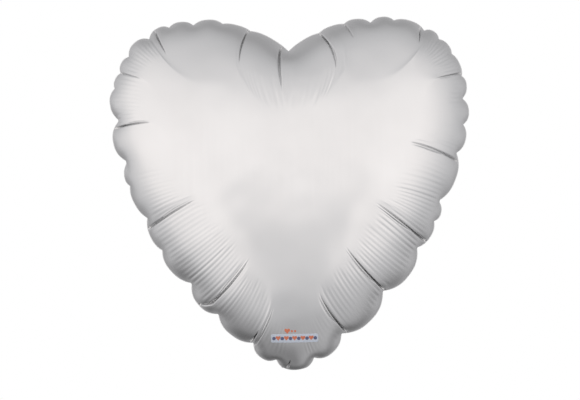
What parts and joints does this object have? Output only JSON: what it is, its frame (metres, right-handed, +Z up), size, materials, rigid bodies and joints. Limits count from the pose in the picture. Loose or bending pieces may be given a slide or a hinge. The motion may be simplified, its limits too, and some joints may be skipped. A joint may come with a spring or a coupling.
{
  "type": "heart-shaped foil balloon",
  "caption": "Inflated heart-shaped foil balloon with puffed, puckered edges, a welded seam and a folded-back filling neck that holds a self-sealing film valve.",
  "frame": {"origin": "middle of the fold at the root of the filling neck, just under the heart's lowest lobe, where a ribbon is tied", "axes": "+X across the heart to the right as seen from the front, +Y to the rear, +Z up from the tip to the cleft"},
  "size_m": [0.3633, 0.198, 0.3591],
  "materials": {
    "satin_foil": "satin metallised film",
    "welded_edge": "heat-sealed film, finely crimped",
    "valve_film": "clear polyethylene film",
    "printed_ink": "printed ink"
  },
  "bodies": {
    "heart": {"front_panel": "satin_foil", "rear_panel": "satin_foil", "edge_seal": "welded_edge", "neck_fold": "satin_foil", "valve_front_film": "valve_film", "valve_rear_film": "valve_film", "valve_side_welds": "valve_film", "valve_release_strip": "printed_ink"},
    "neck": {"neck_front_ply": "satin_foil", "neck_rear_ply": "satin_foil", "neck_side_welds": "welded_edge", "valve_mouth_front": "valve_film", "valve_mouth_rear": "valve_film"}
  },
  "joints": [
    {"name": "neck_swing", "type": "hinge", "parent": "heart", "child": "neck", "pos_m": [0, 0, 0], "axis": [-1, 0, 0], "range_deg": [0, 150]}
  ]
}
